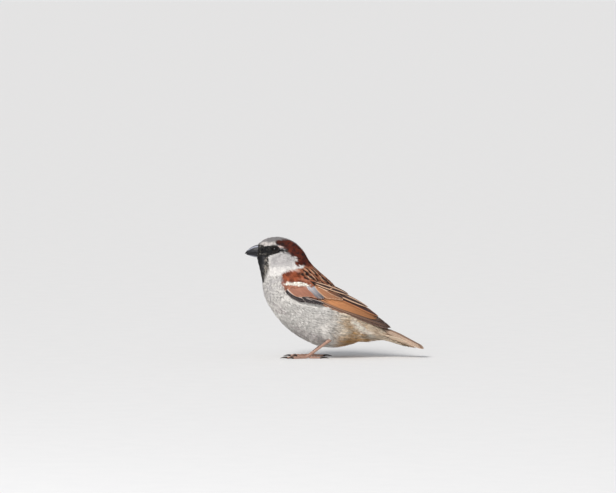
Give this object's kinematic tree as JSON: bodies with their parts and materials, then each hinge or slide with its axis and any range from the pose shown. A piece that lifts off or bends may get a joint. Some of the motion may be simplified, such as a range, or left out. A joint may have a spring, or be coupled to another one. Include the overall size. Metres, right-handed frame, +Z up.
{
  "type": "house sparrow model",
  "caption": "Life-size still model of an adult male house sparrow, standing with its head up and its wings folded.",
  "frame": {"origin": "on the floor, under the middle of the bird's box, half way from the bill tip to the tail tip", "axes": "+Z up, -X the way the bird looks, -Y its left side"},
  "size_m": [0.1254, 0.0428, 0.0846],
  "materials": {
    "head_feathers": "matt feather, grey crown, chestnut nape, black bib",
    "body_feathers": "matt soft feather, pale grey to buff",
    "wing_coverts": "satin feather, rufous with a white bar",
    "wing_quills": "satin feather, dark brown with buff edges",
    "tail_quills": "satin feather, grey brown",
    "bill_horn": "smooth black horn",
    "claw_horn": "dark horn",
    "leg_skin": "scaled pinkish brown skin",
    "eye": "wet gloss, dark brown"
  },
  "bodies": {
    "root": {"bill_lower": "bill_horn", "bill_upper": "bill_horn", "claw_left_1": "claw_horn", "claw_left_2": "claw_horn", "claw_left_3": "claw_horn", "claw_left_4": "claw_horn", "claw_right_1": "claw_horn", "claw_right_2": "claw_horn", "claw_right_3": "claw_horn", "claw_right_4": "claw_horn", "eye_left": "eye", "eye_right": "eye", "foot_left": "leg_skin", "foot_right": "leg_skin", "head": "head_feathers", "neck": "body_feathers", "rump": "body_feathers", "tail": "tail_quills", "tarsus_left": "leg_skin", "tarsus_right": "leg_skin", "thigh_left": "body_feathers", "thigh_right": "body_feathers", "trunk": "body_feathers", "wing_left_coverts": "wing_coverts", "wing_left_primaries": "wing_quills", "wing_left_secondaries": "wing_quills", "wing_right_coverts": "wing_coverts", "wing_right_primaries": "wing_quills", "wing_right_secondaries": "wing_quills"}
  },
  "joints": []
}
